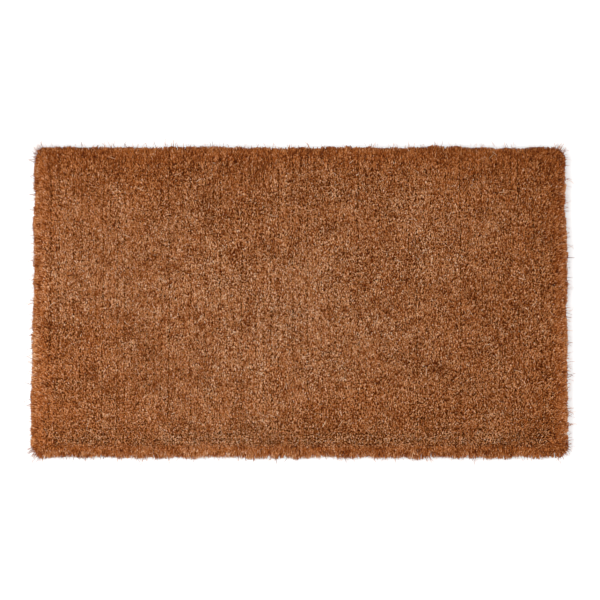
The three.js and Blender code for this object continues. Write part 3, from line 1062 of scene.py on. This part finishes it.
def add_yarns(name, tubes, tones, material, slot, *stands_for):
    """One piece from several twisted tubes of one size, each with its own tone, in place of the CAD
    nodes."""
    points = np.stack([tube[0] for tube in tubes])
    count, rings, sides, _ = points.shape
    one_tube = tube_triangles(rings, sides)
    triangles = np.arange(count)[:, None, None] * rings * sides + one_tube
    ring = points[0, rings // 2]
    round_it = np.linalg.norm(ring - np.roll(ring, 1, axis=0), axis=1).sum()
    step = np.linalg.norm(np.diff(points[0, :, 0], axis=0), axis=1).mean()
    values = {
        "lobe": np.stack([tube[1] for tube in tubes]),
        "tone": np.repeat(tones, rings * sides),
    }
    maps = {"OFBake": tube_map(count, rings, sides, step / round_it)}
    piece = add_piece(name, points.reshape(-1, 3), triangles.reshape(-1, 3), material, values, maps)
    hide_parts(*stands_for)
    return piece


def yarn_material(name, streaks, browns):
    """Fine streaks along the yarn mix two browns, the strand's tone shifts the mix, the grooves between
    the plies are painted dark as painted shade, and the same streaks raise small ridges."""
    material, tree = new_material(name)
    noise = stretched_noise(tree, streaks, STREAK_DETAIL)
    both = {0: noise, 1: attribute_value(tree, "tone")}
    level = add_node(tree, "ShaderNodeMath", both, operation="ADD").outputs[0]
    colour = colour_ramp(tree, level, browns)
    # Painted shade in the grooves between the plies.
    groove = map_range(tree, attribute_value(tree, "lobe"), (0, GROOVE_SHADE_BELOW), (1, 0))
    colour = tinted(tree, groove, colour, GROOVE_SHADE_COLOUR, "MULTIPLY")
    shader = coir_shader(tree, colour, YARN_ROUGHNESS, YARN_SHEEN)
    add_bumps(tree, shader, noise, *YARN_BUMP)
    return material


ALONG_X = (STREAK_LONG, STREAK_FINE, STREAK_FINE)
ALONG_Y = (STREAK_FINE, STREAK_LONG, STREAK_FINE)
chain_finish = yarn_material("chain_yarn_twist", ALONG_X, YARN_BROWNS)
weft_finish = yarn_material("weft_yarn_twist", ALONG_Y, YARN_BROWNS)
UPWARDS = np.array([0.0, 0.0, 1.0])
print("yarn materials:", chain_finish.name, weft_finish.name)

# %% [markdown]
# ## The woven base
# The weft lies across the mat in one long doubled yarn that turns back at each edge. Chain yarns run
# the mat's whole length in pairs. Where one strand of a pair passes over a pick of weft the other
# passes under it, and at the next pick they change places, so every pick and its tufts are locked in.
# The pairs are grouped into a few pieces, because each piece gets an image of its own when the
# materials are baked, and 29 long ones would need too many.

# %% Chain yarns
CHAIN_COUNT = 29
CHAINS_IN_A_GROUP = 6
CHAIN_RADIUS = 1.6 * MM
CHAIN_SWING = 3.5 * MM
CHAIN_SPREAD = 2.2 * MM
CHAIN_STEPS = 4
CHAIN_TWIST = 22 * MM
CHAIN_TONES = (0.25, 0.65)

pick_middle = (weft_low.z + weft_high.z) / 2
first_pick = -(ROW_COUNT - 1) / 2 * ROW_PITCH


def chain_strands(number):
    """Two strands side by side: z is the weft's middle plus or minus a cosine that has one half wave a
    pick."""
    low_corner, high_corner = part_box(f"chain_yarn_{number:02d}")
    count = int((high_corner.x - low_corner.x) / ROW_PITCH * CHAIN_STEPS)
    x = np.linspace(low_corner.x, high_corner.x, count)
    wave = np.cos(np.pi * (x - first_pick) / ROW_PITCH)
    middle = (low_corner.y + high_corner.y) / 2
    strands = []
    for side in (-1, 1):
        swing = side * (-1) ** number * CHAIN_SWING * wave
        path = np.stack([x, np.full(count, middle + side * CHAIN_SPREAD), pick_middle + swing], axis=1)
        strands.append(twisted(path, UPWARDS, CHAIN_RADIUS, YARN_SIDES, CHAIN_TWIST))
    return strands


def make_chains():
    """The pairs in groups, front to back."""
    rng = draws(8)
    pieces = []
    for first in range(1, CHAIN_COUNT + 1, CHAINS_IN_A_GROUP):
        numbers = range(first, min(first + CHAINS_IN_A_GROUP, CHAIN_COUNT + 1))
        tubes = [strand for number in numbers for strand in chain_strands(number)]
        tones = rng.uniform(*CHAIN_TONES, len(tubes))
        stands_for = [f"chain_yarn_{number:02d}" for number in numbers]
        name = f"chain_pairs_{numbers[0]:02d}_to_{numbers[-1]:02d}"
        pieces.append(add_yarns(name, tubes, tones, chain_finish, "coir_yarn", *stands_for))
    return pieces


chain_pairs = make_chains()
print("chain pieces:", len(chain_pairs), "triangles in one:", len(chain_pairs[0].data.polygons))

# %% Weft yarn
WEFT_RADIUS = 1.6 * MM
WEFT_SPREAD = 2.2 * MM
WEFT_STEPS = 112
TURN_STEPS = 7
WEFT_TWIST = 28 * MM
WEFT_TONES = (0.35, 0.55)


def weft_centre_line():
    """Up one pick, a half circle to the next, down that one and a half circle again, repeated over all
    the picks. The left-hand normal goes with it."""
    turn_radius = ROW_PITCH / 2
    reach = (weft_high.y - weft_low.y) / 2 - turn_radius - WEFT_SPREAD - WEFT_RADIUS
    run = np.linspace(-reach, reach, WEFT_STEPS)
    angle = np.linspace(0, np.pi, TURN_STEPS + 2)[1:-1]
    flat, ones = np.zeros(WEFT_STEPS), np.ones(WEFT_STEPS)
    over_x, over_y = turn_radius - turn_radius * np.cos(angle), reach + turn_radius * np.sin(angle)
    back_x, back_y = over_x + ROW_PITCH, -over_y
    x = np.concatenate([flat, over_x, flat + ROW_PITCH, back_x])
    y = np.concatenate([run, over_y, -run, back_y])
    left_x = np.concatenate([-ones, -np.cos(angle), ones, np.cos(angle)])
    left_y = np.concatenate([flat, np.sin(angle), flat, np.sin(angle)])
    pairs = ROW_COUNT // 2
    shift = np.repeat(np.arange(pairs) * 2 * ROW_PITCH, len(x))
    centre = np.stack([first_pick + np.tile(x, pairs) + shift, np.tile(y, pairs)], axis=1)[:-TURN_STEPS]
    left = np.stack([np.tile(left_x, pairs), np.tile(left_y, pairs)], axis=1)[:-TURN_STEPS]
    return centre, left


def make_weft():
    """The two strands of the weft, each in a tone of its own, to the left and the right of its centre
    line."""
    centre, left = weft_centre_line()
    rng = draws(9)
    pieces = []
    for name, side in (("left", 1), ("right", -1)):
        flat_path = centre + side * WEFT_SPREAD * left
        path = np.column_stack([flat_path, np.full(len(centre), pick_middle)])
        tube = twisted(path, UPWARDS, WEFT_RADIUS, YARN_SIDES, WEFT_TWIST)
        tone = rng.uniform(*WEFT_TONES)
        strand = add_yarns(f"weft_strand_{name}", [tube], [tone], weft_finish, "coir_yarn", "weft_yarn")
        pieces.append(strand)
    return pieces


weft_strands = make_weft()
print("triangles in a weft strand:", len(weft_strands[0].data.polygons))

# %% [markdown]
# ## The plaited edging and its stitches
# A three-strand plait closes each side of the base, and twine winds round plait and base together to
# hold it on. In a plait each strand swings from side to side once while it goes up and down twice, and
# the three strands follow each other a third of a turn apart.

# %% Plaited cords
PLAIT_SWING = 2.4 * MM
PLAIT_RISE = 2.1 * MM
PLAIT_RADIUS = 1.45 * MM
PLAIT_PITCH = 25 * MM
PLAIT_STEP = 1.5 * MM
PLAIT_TWIST = 13 * MM
PLAIT_SIDES = 7
PLAIT_TONES = (0.35, 0.75)
STRANDS = 3
SIDES_OF_THE_MAT = ("front", "back", "left", "right")

cord_x_finish = yarn_material("plait_along_x", ALONG_X, YARN_BROWNS)
cord_y_finish = yarn_material("plait_along_y", ALONG_Y, YARN_BROWNS)


def along_and_middle(node):
    """The way a straight CAD piece runs, its length, and its middle."""
    low_corner, high_corner = (np.array(corner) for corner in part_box(node))
    size = high_corner - low_corner
    way = np.zeros(3)
    way[np.argmax(size)] = 1
    return way, size.max(), (low_corner + high_corner) / 2


def make_plait(side, rng):
    """Strand k's path is the middle line + swing sin t out + rise sin 2t up, where t is k thirds of a
    turn ahead."""
    node = f"edging_cord_{side}"
    way, length, middle = along_and_middle(node)
    out = np.cross(way, UPWARDS)
    run = np.linspace(PLAIT_RADIUS, length - PLAIT_RADIUS, int(length / PLAIT_STEP)) - length / 2
    tubes = []
    for strand in range(STRANDS):
        t = 2 * np.pi * (run / PLAIT_PITCH + strand / STRANDS)
        swing, rise = PLAIT_SWING * np.sin(t), PLAIT_RISE * np.sin(2 * t)
        path = middle + run[:, None] * way + swing[:, None] * out + rise[:, None] * UPWARDS
        tubes.append(twisted(path, UPWARDS, PLAIT_RADIUS, PLAIT_SIDES, PLAIT_TWIST))
    finish = cord_x_finish if way[0] else cord_y_finish
    tones = rng.uniform(*PLAIT_TONES, STRANDS)
    return add_yarns(f"plaited_edging_{side}", tubes, tones, finish, "coir_cord", node)


plait_draws = draws(10)
plaits = [make_plait(side, plait_draws) for side in SIDES_OF_THE_MAT]
print("triangles in the front plait:", len(plaits[0].data.polygons))

# %% Sewing twine
TWINE_RADIUS = 0.75 * MM
STITCH_PITCH = 18 * MM
STITCH_STEPS = 18
TWINE_TWIST = 9 * MM
TWINE_GROOVE = 0.2
TWINE_TONE = 0.5
SQUARENESS = 0.75
twine_finish = yarn_material("twine_twist", (STREAK_FINE,) * 3, TWINE_BROWNS)


def make_twine(side):
    """A winding round the plait: across and up follow a cosine and a sine, each raised to a power below
    one, which squares the loop, while the run grows evenly."""
    node = f"sewing_twine_{side}"
    way, length, middle = along_and_middle(node)
    out = np.cross(way, UPWARDS)
    low_corner, high_corner = (np.array(corner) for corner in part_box(node))
    half_out = abs(np.dot(high_corner - low_corner, out)) / 2 - TWINE_RADIUS
    half_up = (high_corner[2] - low_corner[2]) / 2 - TWINE_RADIUS
    turns = length / STITCH_PITCH
    t = np.linspace(0, 2 * np.pi * turns, int(turns * STITCH_STEPS))
    swing = half_out * np.sign(np.cos(t)) * np.abs(np.cos(t)) ** SQUARENESS
    rise = half_up * np.sign(np.sin(t)) * np.abs(np.sin(t)) ** SQUARENESS
    run = np.linspace(-0.5, 0.5, len(t)) * (length - 2 * TWINE_RADIUS)
    path = middle + run[:, None] * way + swing[:, None] * out + rise[:, None] * UPWARDS
    tube = twisted(path, way, TWINE_RADIUS, YARN_SIDES, TWINE_TWIST, TWINE_GROOVE)
    return add_yarns(f"whipping_twine_{side}", [tube], [TWINE_TONE], twine_finish, "coir_twine", node)


twines = [make_twine(side) for side in SIDES_OF_THE_MAT]
print("triangles in the front twine:", len(twines[0].data.polygons))
